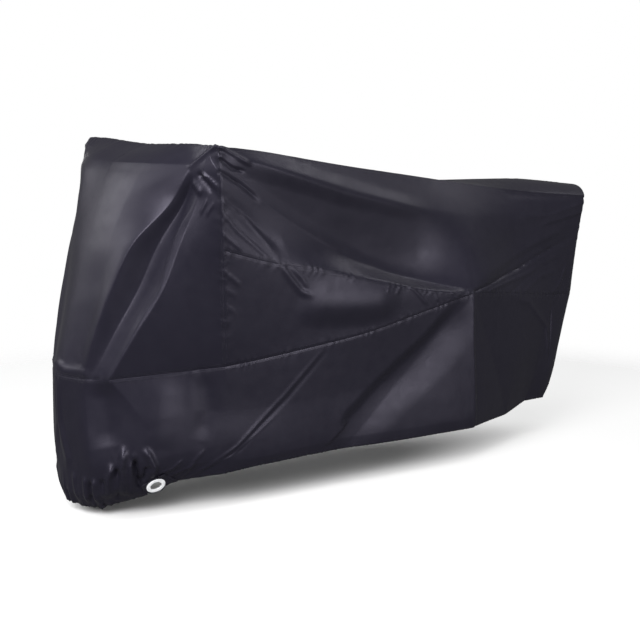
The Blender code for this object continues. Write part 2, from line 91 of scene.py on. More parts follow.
# Sections of the roof and the side, from the upright seam to the rear seam.
# section: (softness, x of the upright line at the roof edge and at the waist, roof middle z,
#           then (y, z) where the roof edge, the strip, the hollow, the sloping seam and the waist cross it)
SIDE_SECTIONS = (
    ("seam", 1.0, -0.549, -0.463, 1.122,
     (-0.420, 1.112), (-0.417, 1.086), (-0.409, 1.030), (-0.371, 0.815), (-0.290, 0.458)),
    ("shoulder", 1.0, -0.350, -0.350, 1.070,
     (-0.371, 1.092), (-0.384, 1.050), (-0.362, 0.928), (-0.363, 0.771), (-0.299, 0.469)),
    ("breast", 1.0, -0.150, -0.150, 1.030,
     (-0.322, 1.067), (-0.343, 1.004), (-0.318, 0.821), (-0.350, 0.734), (-0.312, 0.494)),
    ("middle", 1.0, 0.050, 0.050, 1.004,
     (-0.273, 1.042), (-0.301, 0.955), (-0.284, 0.733), (-0.337, 0.692), (-0.319, 0.521)),
    ("flank", 0.8, 0.280, 0.280, 0.988,
     (-0.217, 1.017), (-0.259, 0.906), (-0.268, 0.672), (-0.322, 0.643), (-0.314, 0.569)),
    ("knee", 0.0, 0.500, 0.500, 0.984,
     (-0.172, 0.991), (-0.228, 0.877), (-0.306, 0.634), (-0.312, 0.614), (-0.312, 0.614)),
    ("haunch", 1.0, 0.800, 0.800, 0.991,
     (-0.142, 0.957), (-0.172, 0.866), (-0.184, 0.732), (-0.220, 0.581), (-0.220, 0.581)),
    ("stern", 1.0, 1.000, 0.990, 0.988,
     (-0.135, 0.939), (-0.149, 0.874), (-0.149, 0.784), (-0.164, 0.557), (-0.164, 0.557)),
    ("tail", 1.0, 1.212, 1.144, 0.966,
     (-0.125, 0.925), (-0.128, 0.890), (-0.126, 0.832), (-0.125, 0.546), (-0.125, 0.546)),
)
SIDE_STEPS = (40, 38, 38, 42, 40, 54, 36, 36)
LINE_SOFTNESS = (0.0, 0.6, 0.7, 0.35, 0.3)  # roof edge, strip, hollow, sloping seam, waist
LINE_CREASED = (0.0, 0.0, 0.1, 1.0, 1.0)  # how far each line takes up a section's crease
LINE_STEPS = (10, 30, 28, 44)
SEAM_DROPS = (0.0, 0.04, 0.125, 0.455, 1.0)  # where those lines meet the upright seam
SLOPING_LINE = 3  # which of them is the sloping seam
KNEE = 5  # the section where the sloping seam runs into the waist
SEAM_FADE = 0.9  # sections over which the side takes up the upright seam's own curve
BULGE_FROM = 7  # the section where the roof starts to round out to the rear
REAR_BULGE = (0.050, 0.092)  # how far the tail's middle stands behind its seams, at the roof and at the waist
FRONT_STATIONS = 5  # how many of the skirt's stations are steps between the front's folds

# The skirt below the waist: level lines round the cover. station: 0 to 5 are the front's folds,
# 5 to 13 the side's sections, 14 the middle of the rear.
# level: (softness, rows of (station, x, y, z))
SKIRT_LEVELS = {
    "shin": (0.8, (0, -0.884, 0.000, 0.330), (1, -0.868, -0.080, 0.322), (2, -0.850, -0.135, 0.316),
             (3, -0.797, -0.182, 0.315), (4, -0.716, -0.228, 0.315), (5, -0.457, -0.270, 0.320),
             (6, -0.350, -0.276, 0.312), (7, -0.150, -0.284, 0.320), (8, 0.050, -0.284, 0.330),
             (9, 0.280, -0.276, 0.350), (10, 0.500, -0.276, 0.360), (11, 0.785, -0.218, 0.360),
             (12, 0.955, -0.163, 0.352), (13, 1.100, -0.122, 0.350), (14, 1.172, 0.000, 0.350)),
    "low": (0.8, (0, -0.880, 0.000, 0.190), (1, -0.864, -0.088, 0.184), (2, -0.842, -0.146, 0.180),
            (3, -0.786, -0.190, 0.182), (4, -0.704, -0.228, 0.190), (5, -0.455, -0.266, 0.215),
            (6, -0.350, -0.271, 0.212), (7, -0.150, -0.275, 0.222), (8, 0.050, -0.274, 0.228),
            (9, 0.280, -0.266, 0.230), (10, 0.500, -0.260, 0.235), (11, 0.780, -0.205, 0.245),
            (12, 0.942, -0.150, 0.250), (13, 1.080, -0.120, 0.262), (14, 1.132, 0.000, 0.270)),
    "brim": (0.6, (0, -0.878, 0.000, 0.088), (1, -0.858, -0.082, 0.080), (2, -0.820, -0.136, 0.080),
             (3, -0.768, -0.180, 0.108), (4, -0.680, -0.226, 0.158), (5, -0.452, -0.258, 0.160),
             (6, -0.350, -0.263, 0.152), (7, -0.150, -0.267, 0.162), (8, 0.050, -0.266, 0.165),
             (9, 0.280, -0.259, 0.165), (10, 0.500, -0.252, 0.166), (11, 0.775, -0.194, 0.180),
             (12, 0.930, -0.138, 0.188), (13, 1.058, -0.116, 0.190), (14, 1.120, 0.000, 0.205)),
}
SKIRT_STEPS = (30, 24, 18, 12)

# The hem, in rows of (station, x, y, z), with its run behind the eyelet's strip between them:
# (station, along the strip, up the strip), from the strip's centre
HEM_FRONT = ((0, -0.860, 0.000, 0.036), (1, -0.836, -0.058, 0.028), (2, -0.792, -0.098, 0.024))
HEM_BEHIND_TAB = ((3, -0.036, -0.026), (3.5, -0.024, 0.021), (4.333, 0.024, 0.021), (4.667, 0.052, -0.028))
HEM_REST = ((5, -0.451, -0.243, 0.112), (6, -0.350, -0.250, 0.121), (7, -0.150, -0.255, 0.128),
            (8, 0.050, -0.256, 0.128), (9, 0.280, -0.250, 0.126), (10, 0.500, -0.243, 0.127),
            (11, 0.770, -0.186, 0.126), (12, 0.920, -0.130, 0.148), (13, 1.034, -0.112, 0.144),
            (14, 1.094, 0.000, 0.168))
BEHIND_TAB = 0.0022  # how far inward of the strip's middle that run is

# Folds that run out from a hard point, as tents of two flat facets, in the side's own plane.
# fold: (apex, left foot, crest, right foot, each (x, z) above the ground, and the crest's height)
TENTS = {
    "knee_fold": ((0.500, 0.614), (-0.040, 0.100), (0.535, 0.100), (0.780, 0.110), 0.036),
}

# Creases, placed to 5 mm. All lengths are in mm, and z is above the ground. A height below 0 is a trough.
# name: (height, width on the left of the way it runs, width on its right, softness,
#        share of the height at its start, share at its end, points (x, y, z))
CREASES = {
    # The front panel and its peak
    "chamfer": (3, 30, 30, 0.2, 1, 0.5,
        (-685, 20, 1065), (-675, -100, 1065), (-650, -200, 1060), (-600, -320, 1060)),
    "ridge": (3, 40, 20, 0.2, 0.3, 1,
        (-580, -345, 965), (-610, -305, 890), (-650, -290, 785), (-670, -280, 705), (-700, -260, 650),
        (-750, -230, 545), (-800, -195, 440)),
    "peak_edge": (6, 14, 14, 0.1, 0.6, 1,
        (-590, -330, 1055), (-575, -360, 1080), (-560, -385, 1100), (-550, -410, 1115)),
    "peak_line": (6, 12, 12, 0.1, 0, 0.6, (-580, -365, 1040), (-560, -380, 1020), (-540, -400, 995)),
    "peak_patch": (7, 14, 14, 0.6, 0, 0, (-590, -330, 1015), (-580, -345, 1000), (-570, -360, 975)),
    "peak_dent": (-7, 16, 16, 0.6, 0, 0.3, (-585, -350, 1040), (-575, -370, 1020), (-550, -385, 985)),
    "peak_wrinkle_a": (3, 8, 8, 0.4, 0, 0, (-560, -370, 965), (-570, -360, 940), (-575, -350, 920)),
    "peak_wrinkle_b": (3, 8, 8, 0.4, 0, 0, (-545, -385, 955), (-555, -370, 935), (-560, -360, 915)),
    "waist_roll": (7, 10, 14, 0.5, 0.2, 0,
        (-885, 30, 475), (-880, 0, 470), (-870, -45, 455), (-855, -110, 460), (-835, -150, 450)),
    # The side between the roof and the waist
    "roof_strip": (10, 55, 50, 0.5, 0.4, 0,
        (-480, -405, 1080), (-310, -375, 1035), (-55, -320, 970), (200, -275, 920), (415, -240, 875)),
    "fan_a": (5, 10, 12, 0.3, 1, 0, (-540, -420, 1110), (-490, -405, 1085), (-430, -395, 1055)),
    "fan_b": (-4, 9, 9, 0.4, 1, 0, (-540, -415, 1075), (-500, -405, 1050), (-450, -400, 1040)),
    "dark_crease": (-4, 14, 14, 0.2, 1, 0, (-540, -410, 1040), (-470, -395, 1005), (-385, -370, 950)),
    "diagonal": (5, 45, 75, 0.3, 0.5, 0,
        (-545, -410, 1040), (-425, -385, 975), (-275, -345, 890), (-135, -315, 820), (0, -290, 755),
        (125, -280, 705), (255, -290, 665)),
    "diagonal_low": (-3, 30, 30, 0.6, 0.4, 0,
        (-535, -400, 975), (-435, -375, 905), (-330, -360, 830), (-285, -360, 770)),
    "streak_a": (2.5, 9, 9, 0.2, 0.6, 0, (-535, -400, 965), (-440, -380, 905), (-325, -360, 795)),
    "streak_b": (2.5, 9, 9, 0.2, 0.6, 0, (-530, -395, 930), (-475, -380, 875), (-345, -360, 775)),
    "streak_c": (2.5, 10, 10, 0.3, 0.7, 0, (-520, -380, 865), (-445, -370, 810)),
    "streak_d": (2.5, 10, 10, 0.3, 0.7, 0, (-505, -355, 755), (-440, -350, 705)),
    "streak_e": (2, 9, 9, 0.3, 0.7, 0, (-495, -345, 700), (-450, -340, 675)),
    "streak_f": (2, 9, 9, 0.3, 0.7, 0, (-485, -335, 645), (-450, -330, 625)),
    "elbow_a": (4.5, 14, 20, 0.4, 0.4, 0,
        (-310, -360, 760), (-270, -350, 715), (-230, -345, 675), (-180, -340, 655)),
    "elbow_b": (2.5, 10, 12, 0.3, 0.3, 0, (-270, -355, 750), (-230, -350, 715), (-205, -345, 680)),
    "slope_a": (2, 9, 9, 0.4, 1, 0, (115, -330, 680), (100, -335, 645)),
    "slope_b": (2, 9, 9, 0.4, 1, 0, (165, -330, 665), (140, -330, 635)),
    "slope_c": (2.5, 10, 10, 0.4, 1, 0, (200, -325, 660), (240, -325, 630), (290, -315, 585)),
    "slope_d": (2, 10, 10, 0.4, 1, 0, (310, -315, 640), (330, -315, 595)),
    "slope_e": (2, 10, 10, 0.4, 1, 0, (390, -315, 625), (435, -310, 585)),
    "slope_f": (2, 10, 10, 0.4, 1, 0, (280, -310, 650), (250, -265, 700)),
    # The tail
    "tail_band": (5, 80, 30, 0.4, 1, 0,
        (570, -275, 660), (760, -200, 710), (930, -160, 760), (1160, -130, 815)),
    "tail_crease": (-5, 16, 12, 0.1, 1, 0.4,
        (505, -310, 620), (805, -195, 670), (1070, -140, 745), (1150, -130, 770)),
    "tail_a": (3.5, 12, 14, 0.3, 1, 0, (595, -280, 615), (880, -180, 650), (1115, -135, 720)),
    "tail_b": (-3, 10, 10, 0.3, 0.6, 0, (730, -240, 590), (955, -165, 670), (1065, -140, 690)),
    "tail_c": (3, 10, 10, 0.3, 0.6, 0, (815, -215, 580), (950, -170, 630), (1085, -140, 650)),
    "tail_d": (3, 10, 10, 0.3, 0.6, 0, (1025, -155, 555), (1075, -140, 590), (1125, -130, 670)),
    "stern_a": (2.5, 30, 16, 0.4, 0.8, 0, (1200, -130, 895), (1000, -150, 855), (795, -175, 860)),
    "stern_b": (2.5, 16, 30, 0.4, 0.8, 0, (1190, -130, 860), (1070, -140, 840), (940, -155, 820)),
    "roof_line": (-2, 22, 22, 0.6, 0, 0.5,
        (725, -150, 960), (805, -145, 940), (990, -140, 930), (1200, -125, 920)),
    # The skirt, and the belly of the wedge above it
    "knee_left": (-14, 150, 50, 1, 0.1, 1,
        (460, -310, 595), (315, -295, 455), (125, -280, 320), (10, -275, 225)),
    "wedge_belly": (11, 95, 80, 1, 0.1, 0.1,
        (-245, -335, 635), (-120, -335, 620), (15, -335, 615), (170, -325, 615)),
    "knee_crest": (6, 14, 60, 0.1, 0.3, 1,
        (490, -310, 610), (505, -300, 450), (530, -280, 265), (545, -260, 140)),
    "stern_curl": (3.5, 30, 16, 0.2, 0, 0,
        (710, -245, 580), (860, -200, 540), (995, -160, 435), (1030, -140, 295), (1035, -130, 220)),
    "stern_tuck": (-4, 12, 10, 0.2, 0, 0,
        (1025, -155, 535), (1025, -150, 425), (1025, -150, 360), (1030, -135, 250)),
    "skirt_diagonal_a": (2.5, 12, 10, 0.3, 0.4, 0.8,
        (-125, -310, 485), (-255, -285, 345), (-420, -265, 200), (-520, -240, 140), (-560, -220, 120)),
    "skirt_diagonal_low": (-2.5, 12, 16, 0.4, 0.3, 0.8,
        (-115, -310, 470), (-240, -285, 335), (-405, -265, 190), (-510, -240, 135)),
    "skirt_diagonal_b": (2.5, 9, 9, 0.2, 0, 0.7, (-270, -280, 295), (-435, -260, 170), (-535, -235, 135)),
    "skirt_diagonal_c": (3.5, 10, 10, 0.2, 0, 1, (-520, -260, 210), (-555, -250, 170), (-580, -215, 120)),
    "shin_trough": (-10, 60, 90, 1, 0.2, 0.4, (-820, -170, 425), (-810, -170, 330), (-800, -185, 235)),
    "shin_crest": (5, 80, 70, 1, 0.3, 0.3, (-660, -240, 435), (-660, -240, 325), (-670, -235, 220)),
    "shin_dark": (-5, 50, 50, 1, 0.3, 0.3, (-525, -275, 440), (-515, -265, 325), (-540, -260, 235)),
    "nose_strip": (7, 25, 35, 0.6, 0.5, 0,
        (-885, -10, 400), (-880, -5, 295), (-875, -45, 185), (-875, -30, 125)),
    # The gathers of the front hem, and the creases that run out from the eyelet
    "gather_1": (16, 22, 16, 0.6, 0, 0.35, (-760, -205, 245), (-770, -195, 170), (-750, -165, 85)),
    "gather_2": (-22, 15, 15, 0.5, 0, 0.35, (-740, -215, 210), (-730, -210, 165), (-705, -190, 95)),
    "gather_3": (14, 18, 18, 0.6, 0, 0.35, (-710, -230, 235), (-680, -230, 170), (-680, -215, 130)),
    "gather_4": (14, 16, 16, 0.6, 0, 0.35, (-790, -185, 190), (-800, -170, 140), (-790, -140, 75)),
    "gather_5": (-14, 12, 12, 0.6, 0, 0.35, (-815, -160, 140), (-795, -120, 60)),
    "gather_6": (11, 14, 14, 0.6, 0, 0.35, (-835, -145, 140), (-815, -115, 60)),
    "gather_7": (-20, 13, 12, 0.5, 0, 0.35, (-780, -195, 180), (-760, -140, 65)),
    "gather_8": (9, 12, 12, 0.6, 0, 0.35, (-730, -220, 225), (-745, -210, 175), (-725, -160, 70)),
    "gather_9": (-10, 10, 10, 0.6, 0, 0.35, (-700, -225, 175), (-705, -205, 115)),
    "gather_10": (9, 13, 13, 0.6, 0, 0.35, (-850, -115, 145), (-835, -90, 50)),
    "gather_11": (-11, 11, 11, 0.6, 0, 0.35, (-840, -130, 130), (-825, -100, 50)),
    "gather_12": (8, 14, 14, 0.6, 0, 0.35, (-865, -70, 150), (-850, -60, 60)),
    "ring_a": (4, 8, 8, 0.3, 1, 0, (-655, -225, 145), (-620, -235, 155), (-590, -245, 185)),
    "ring_b": (4, 8, 8, 0.3, 1, 0, (-620, -220, 130), (-585, -230, 145), (-545, -250, 165)),
}
CREASE_SLACK = 0.003  # how far from the surface a crease's points may lie
CREASE_END = 0.25  # share of a crease's length over which each of its ends fades

# Seams. name: (groove mm, pucker height mm, pucker reach mm, pucker spacing mm)
SEAMS = {
    "upright": (1.4, 1.1, 20, 33),
    "top": (1.2, 1.2, 18, 34),
    "edge": (0.0, 0.2, 16, 60),
    "sloping": (1.2, 1.0, 18, 31),
    "waist": (1.6, 1.1, 16, 29),
    "stern": (1.6, 1.6, 20, 26),
    "middle": (1.2, 1.0, 18, 36),
    "hem": (0.4, 1.3, 14, 11),
}
GROOVE_REACH = 0.0035  # half the width of a seam's groove
RIPPLE_SLANT = 0.35  # how far the puckers lean as they leave the seam
RIPPLE_WANDER, WANDER_OVER = 1.9, 3.7  # how unevenly they are spaced, and over how many
RIPPLE_SWELL, SWELL_OVER, SWELL_START = 0.45, 5.3, 1.0  # how unevenly high they are, and over how many
NOSE_GATHERS = (4.5, 60, 24)  # height mm, reach mm and spacing mm of the elastic's gathers round the front hem
GATHERED_TO = -0.70  # the hem is gathered ahead of this x
GATHERS_WITHIN = (-0.66, 0.30)  # the gathers stay ahead of this x and below this height
HEM_TURN = ((0.003, -0.001), (0.005, 0.016))  # the turned-in hem's rows: (inward, upward) from the hem

# How the half that faces away is plainer.
HIDDEN_SHARE = 0.6  # how deep its creases are
HIDDEN_FROM = 0.12  # how far from the middle it is as plain as that
FAR_PEAK = (0.98, 1.05, 0.2)  # between these heights they fade to this share, since its peak is drawn tight
FAR_PEAK_X = -0.5  # ahead of this x
UNDULATIONS = ((0.37, 0.5, 0.3), (0.21, 0.18, 1.9), (0.12, 0.07, 4.1))  # (length m, height mm, phase)

# The lock eyelet and its strip, in the strip's own plane: x along the hem, y up, z outward.
TAB_HOLE = 0.0203
TAB_OUTLINE = ((0.0640, -0.0300), (0.0385, 0.0328), (-0.0365, 0.0328), (-0.0435, -0.0160))
TAB_ARC_RADIUS = 0.035
TAB_ARC = (math.radians(200), math.radians(315))
TAB_ARC_POINTS = 24
TAB_STEPS, TAB_RINGS = 144, 16
TAB_LIFT = 0.0006
TAB_THICKNESS = 0.0012
TAB_WAVE = (0.0305, 0.02, 0.0016)  # radius where it starts, radius over which it grows, height
TAB_WAVES_ROUND, TAB_WAVE_TWIST = 7, 60
# The ring's outline, turned round z: (radius, z)
EYELET_PROFILE = (
    (0.0175, -0.0024), (0.0175, 0.0026), (0.0178, 0.0032), (0.0184, 0.0036), (0.0192, 0.0037), (0.0260, 0.0036),
    (0.0280, 0.0032), (0.0293, 0.0025), (0.0299, 0.0018), (0.0300, 0.0013), (0.0200, 0.0013), (0.0200, -0.0013),
    (0.0270, -0.0013), (0.0270, -0.0022), (0.0262, -0.0027), (0.0182, -0.0028),
)
EYELET_STEPS = 72
EYELET_SHARP = math.radians(50)
ROOF_EDGE_SHARP = math.radians(40)
WELD = 0.00005

# Taffeta: two rows of stitches by each seam, and a bump of each kind, from coarse to fine.
STITCH_ROWS = (0.0035, 0.0095)  # metres from the seam
STITCH_HALF_WIDTH = 0.0007
STITCH_PITCH = 0.0034
STITCH_SHARE = 0.68  # of the pitch, the rest being the gap
THREAD_COLOUR = (0.006, 0.006, 0.009, 1)
WEAVE_SCALE = 420.0
CLOTH_COLOURS = ((0.0080, 0.0074, 0.0128, 1), (0.0112, 0.0103, 0.0172, 1))
CLOTH_ROUGHNESS = (0.35, 0.44)
CLOTH_BUMPS = {  # name: (strength, depth in metres)
    "crumple": (0.10, 0.0035),
    "fine": (0.12, 0.0006),
    "weave": (0.15, 0.0002),
    "stitch": (0.6, 0.0006),
}
PLASTIC_COLOURS = ((0.66, 0.67, 0.69, 1), (0.84, 0.85, 0.86, 1))
PLASTIC_ROUGHNESS = (0.24, 0.36)
NOISE_RANGE = (0.3, 0.7)  # the part of a noise's values that a roughness follows

# Studio lights. name: azimuth and elevation in degrees, distance, (width, height) in metres, watts
LIGHTS = {
    "nose_box": (148, 24, 4.2, (3.0, 1.8), 62),
    "key_box": (214, 27, 4.2, (2.4, 2.4), 240),
    "side_box": (286, -2, 4.4, (3.2, 1.0), 98),
    "top_box": (270, 75, 3.6, (2.4, 1.6), 85),
    "tail_box": (345, 38, 4.2, (1.6, 1.2), 18),
    "back_box": (68, 8, 4.2, (2.8, 1.0), 26),
}
LIGHT_TARGET = (0.1, 0.0, -0.45)
SURROUND = (0.10, 1.0)  # how bright the white surround lights the cover, and how bright it looks

# The floor turns clear far off, and beside the cover, where its shadow ends softly.
FLOOR_HALF = 8.0
FLOOR_FAR = (1.3, 3.0)  # metres from the middle, where it starts and where it is clear
FLOOR_BESIDE = (0.45, 1.15, 0.7)  # the same beside the cover, and how clear it gets
FLOOR_SHIFT = (0.2, 0.0, 0.0)  # the distance beside the cover is measured after this shift
FLOOR_STRETCH = (0.8, 3.0, 0.0)  # and this stretch

CAMERA_LENS = 63.0
CAMERA_PLACE = (-2.053, -3.193, 1.109)  # its height is above the ground
CAMERA_DOWN, CAMERA_TURN = 8.77, 33.57  # degrees


def spline(points, softness, where):
    """Points at the places where (0 is the first row of points, 1 the second) on smooth lines through all rows.

    A row's softness is 1 where the line runs through it in one curve and 0 where it is creased there.
    """
    points = np.asarray(points, float)
    where = np.asarray(where, float)
    chords = np.diff(points, axis=0)
    lengths = np.maximum(np.linalg.norm(chords, axis=-1, keepdims=True), 1e-9)
    ways = chords / lengths
    leaving, arriving = chords.copy(), chords.copy()
    middle = (ways[:-1] + ways[1:]) / 2
    soft = np.asarray(softness, float)[1:-1]
    soft = soft.reshape(soft.shape + (1,) * (points.ndim - soft.ndim))
    leaving[1:] += soft * (lengths[1:] * middle - chords[1:])
    arriving[:-1] += soft * (lengths[:-1] * middle - chords[:-1])
    row = np.clip(where.astype(int), 0, len(chords) - 1)
    t = (where - row).reshape((-1,) + (1,) * (points.ndim - 1))
    return (
        points[row] * (2 * t**3 - 3 * t**2 + 1)
        + leaving[row] * (t**3 - 2 * t**2 + t)
        + points[row + 1] * (3 * t**2 - 2 * t**3)
        + arriving[row] * (t**3 - t**2)
    )


def places(steps):
    """The places of all lines of a grid that has so many steps between one row of a table and the next."""
    return np.concatenate([[0.0]] + [k + np.arange(1, n + 1) / n for k, n in enumerate(steps)])


def smooth(t):
    """0 to 1, easing in and out."""
    t = np.clip(t, 0.0, 1.0)
    return t * t * (3 - 2 * t)


def past_middle(rows):
    """The rows, with the second one's mirror image before the first, so that lines cross the middle smoothly."""
    return np.concatenate([rows[1:2] * (1, -1, 1), rows])


def front(folds_at, drops_at):
    """The left half of the front panel: an array of drops by folds."""
    table = np.array([row[1:] for row in FRONT_FOLDS.values()])
    down = np.interp(drops_at, DROPS, np.arange(len(DROPS)))
    lines = spline(np.swapaxes(table, 0, 1), np.ones(len(DROPS)), down)
    softness = [1.0] + [row[0] for row in FRONT_FOLDS.values()]
    across = spline(past_middle(np.swapaxes(lines, 0, 1)), softness, folds_at + 1)
    return np.swapaxes(across, 0, 1)


def side(lines_at, sections_at, seam):
    """The left side below the roof edge: lines by sections. seam holds its first column."""
    creased = 1 - np.array([row[1] for row in SIDE_SECTIONS])
    softness = 1 - creased[:, None] * np.array(LINE_CREASED)
    table = []
    for _, _, x_top, x_waist, _, *crossings in SIDE_SECTIONS:
        top, bottom = crossings[0][1], crossings[-1][1]
        table.append([(x_top + (x_waist - x_top) * (top - z) / (top - bottom), y, z) for y, z in crossings])
    along = spline(table, softness, sections_at)
    grid = spline(np.swapaxes(along, 0, 1), LINE_SOFTNESS, lines_at)
    fade = 1 - smooth(sections_at / SEAM_FADE)
    return grid + fade[None, :, None] * (seam - grid[:, 0])[:, None, :]


def roof(edge, sections_at, across, top):
    """The left half of the roof: from its middle (across is 0) to its edge. top holds its first column."""
    middle = [[row[2], 0.0, row[4]] for row in SIDE_SECTIONS]
    middle = spline(middle, np.ones(len(SIDE_SECTIONS)), sections_at)
    crown = (1 - across**2)[:, None]
    x = edge[None, :, 0] + crown * (REAR_BULGE[0] * smooth(sections_at - BULGE_FROM))[None, :]
    y = across[:, None] * edge[None, :, 1]
    z = edge[None, :, 2] + crown * (middle[:, 2] - edge[:, 2])[None, :]
    grid = np.stack([x, y, z], axis=-1)
    fade = 1 - smooth(sections_at / SEAM_FADE)
    return grid + fade[None, :, None] * (top - grid[:, 0])[:, None, :]


def rear(seam, across, roof_end):
    """The left half of the rear panel: lines by columns from the seam to the middle."""
    share = (seam[:, 2] - seam[0, 2]) / (seam[-1, 2] - seam[0, 2])
    crown = (1 - across**2)[None, :]
    bulge = REAR_BULGE[0] + share * (REAR_BULGE[1] - REAR_BULGE[0])
    x = seam[:, 0][:, None] + bulge[:, None] * crown
    y = seam[:, 1][:, None] * across[None, :]
    z = seam[:, 2][:, None] + ((1 - share) * (roof_end[0, 2] - seam[0, 2]))[:, None] * crown
    grid = np.stack([x, y, z], axis=-1)
    grid[0] = roof_end[::-1]
    return grid


def tab_axes():
    """The eyelet's strip: its run along the hem, its way up and its outer side, as unit vectors."""
    run = Vector(TAB_RUN).normalized()
    level_out = run.cross(Vector((0, 0, 1))).normalized()
    if level_out.y > 0:
        level_out.negate()
    out = (Matrix.Rotation(TAB_TUCK, 3, run) @ level_out).normalized()
    if out.z > 0:
        out = (Matrix.Rotation(-TAB_TUCK, 3, run) @ level_out).normalized()
    up = out.cross(run).normalized()
    if up.z < 0:
        up.negate()
    return run, up, out


def level_line(rows, softness, stations):
    """Points at these stations on one level line of the skirt."""
    rows = np.array(rows)
    where = np.interp(stations, rows[:, 0], np.arange(len(rows)))
    points = past_middle(past_middle(rows[:, 1:])[::-1])[::-1]
    softness = np.full(len(points), softness)
    softness[[1, -2]] = 1.0
    return spline(points, softness, where + 1)


def hem_rows():
    """The hem's own level line, with its run behind the eyelet's strip, clear of the eyelet."""
    run, up, out = tab_axes()
    behind_tab = []
    for station, along, rise in HEM_BEHIND_TAB:
        behind_tab.append((station, *(Vector(TAB_CENTRE) + along * run + rise * up - BEHIND_TAB * out)))
    return (*HEM_FRONT, *behind_tab, *HEM_REST)


def skirt(waist, stations, steps_at):
    """The left half of the skirt: levels by stations. waist holds its first row."""
    levels = [level_line(rows, softness, stations) for softness, *rows in SKIRT_LEVELS.values()]
    hem = level_line(hem_rows(), 0.0, stations)
    softness = [0.0] + [row[0] for row in SKIRT_LEVELS.values()] + [0.0]
    return spline([waist, *levels, hem], softness, steps_at)


def tent_height(fold, x, z):
    """How far a tent fold stands out at a place of the side."""
    apex, left, crest, right, height = fold
    found = np.zeros_like(x)
    for foot in (left, right):
        (ax, az), (fx, fz), (cx, cz) = apex, foot, crest
        area = (fx - ax) * (cz - az) - (cx - ax) * (fz - az)
        of_crest = ((fx - ax) * (z - az) - (x - ax) * (fz - az)) / area
        of_foot = ((x - ax) * (cz - az) - (cx - ax) * (z - az)) / area
        inside = (of_crest >= 0) & (of_foot >= 0)
        found = np.where(inside, np.maximum(found, of_crest * height), found)
    return found


def raise_tents(grid, share):
    """Raises the side's tent folds on a grid, away from the cover's middle."""
    for fold in TENTS.values():
        grid[..., 1] -= share * tent_height(fold, grid[..., 0], grid[..., 2])


def raise_right_peak(grid):
    """Lifts the right half's upper part and leads it forward, most at its peak."""
    outward = grid[..., 1] / PEAK_HALF_WIDTH
    height = smooth((grid[..., 2] - LEVEL_BELOW) / (PEAK_HEIGHT - LEVEL_BELOW))
    ahead = np.clip(grid[..., 0] / PEAK_X, 0, 1)
    levels, leads = zip(*RIGHT_LEAD)
    lead = np.interp(grid[..., 2], levels, leads) * ahead * smooth(abs(outward) / LEAD_FULL_FROM)
    return grid + outward[..., None] * np.stack([-lead, 0 * lead, RIGHT_PEAK_RISE * height], axis=-1)


def half_grids(right):
    """The base surface of one half, before its fine creases: grids by panel, all in the left half's place."""
    columns = places(FRONT_STEPS)
    lines = places(LINE_STEPS)
    sections = places(SIDE_STEPS)
    drops = np.interp(lines, np.arange(len(SEAM_DROPS)), SEAM_DROPS)
    front_grid = front(columns, drops)
    side_grid = side(lines, sections, front_grid[:, -1])
    across = front_grid[0, :, 1] / front_grid[0, -1, 1]
    roof_grid = roof(side_grid[0], sections, across, front_grid[0])
    sloping_row = int(np.argmin(abs(lines - SLOPING_LINE)))
    rear_grid = rear(side_grid[: sloping_row + 1, -1], across[::-1], roof_grid[:, -1])
    waist = np.concatenate([front_grid[-1], side_grid[-1, 1:], rear_grid[-1, 1:]])
    first, last = FRONT_STATIONS, FRONT_STATIONS + len(SIDE_STEPS)
    stations = np.concatenate([columns, first + sections[1:], last + (1 - across[-2::-1])])
    skirt_grid = skirt(waist, stations, places(SKIRT_STEPS))
    raise_tents(skirt_grid[1:], RIGHT_FOLDS if right else 1.0)
    knee_column = int(np.argmin(abs(sections - KNEE)))
    grids = {
        "front_panel": front_grid,
        "side_panel": np.concatenate([roof_grid[:-1], side_grid[: sloping_row + 1]]),
        "wedge_panel": side_grid[sloping_row:, : knee_column + 1],
        "rear_panel": rear_grid,
        "skirt": skirt_grid,
    }
    seams = {
        "upright": front_grid[:, -1],
        "top": front_grid[0],
        "edge": side_grid[0],
        "sloping": side_grid[sloping_row, : knee_column + 1],
        "waist": waist,
        "stern": rear_grid[:, 0],
        "middle": roof_grid[0],
        "hem": skirt_grid[-1],
    }
    return grids, seams


def crest(t, soft):
    """A crease's height at this share of its width: sharp where soft is 0, rounded where it is 1."""
    t = np.clip(t, 0.0, 1.0)
    return (1 - t) ** 2 * (1 + 2 * soft * t)


def creases(points, normals):
    """The height that the listed creases give each point, in metres."""
    total = np.zeros(len(points))
    for height, left, right, soft, start, end, *line in CREASES.values():
        line = np.array(line) / 1000
        reach = max(left, right) / 1000
        near = np.flatnonzero(((points > line.min(0) - reach) & (points < line.max(0) + reach)).all(axis=1))
        if not len(near):
            continue
        lengths = np.linalg.norm(np.diff(line, axis=0), axis=1)
        passed = np.concatenate([[0.0], np.cumsum(lengths)])
        best = np.full(len(near), np.inf)
        width = np.ones(len(near))
        run = np.zeros(len(near))
        for k, (a, b) in enumerate(zip(line[:-1], line[1:])):
            way = (b - a) / lengths[k]
            t = np.clip((points[near] - a) @ way, 0, lengths[k])
            off = points[near] - a - t[:, None] * way
            lift = np.einsum("ij,ij->i", off, normals[near])
            off -= np.clip(lift, -CREASE_SLACK, CREASE_SLACK)[:, None] * normals[near]
            distance = np.linalg.norm(off, axis=1)
            to_right = np.einsum("ij,ij->i", np.cross(way, normals[near]), off) > 0
            closer = distance < best
            best = np.where(closer, distance, best)
            width = np.where(closer, np.where(to_right, right, left) / 1000, width)
            run = np.where(closer, passed[k] + t, run)
        run /= passed[-1]
        ends = np.interp(run, (0.0, CREASE_END, 1 - CREASE_END, 1.0), (start, 1.0, 1.0, end))
        total[near] += height / 1000 * smooth(ends) * crest(best / width, soft)
    return total


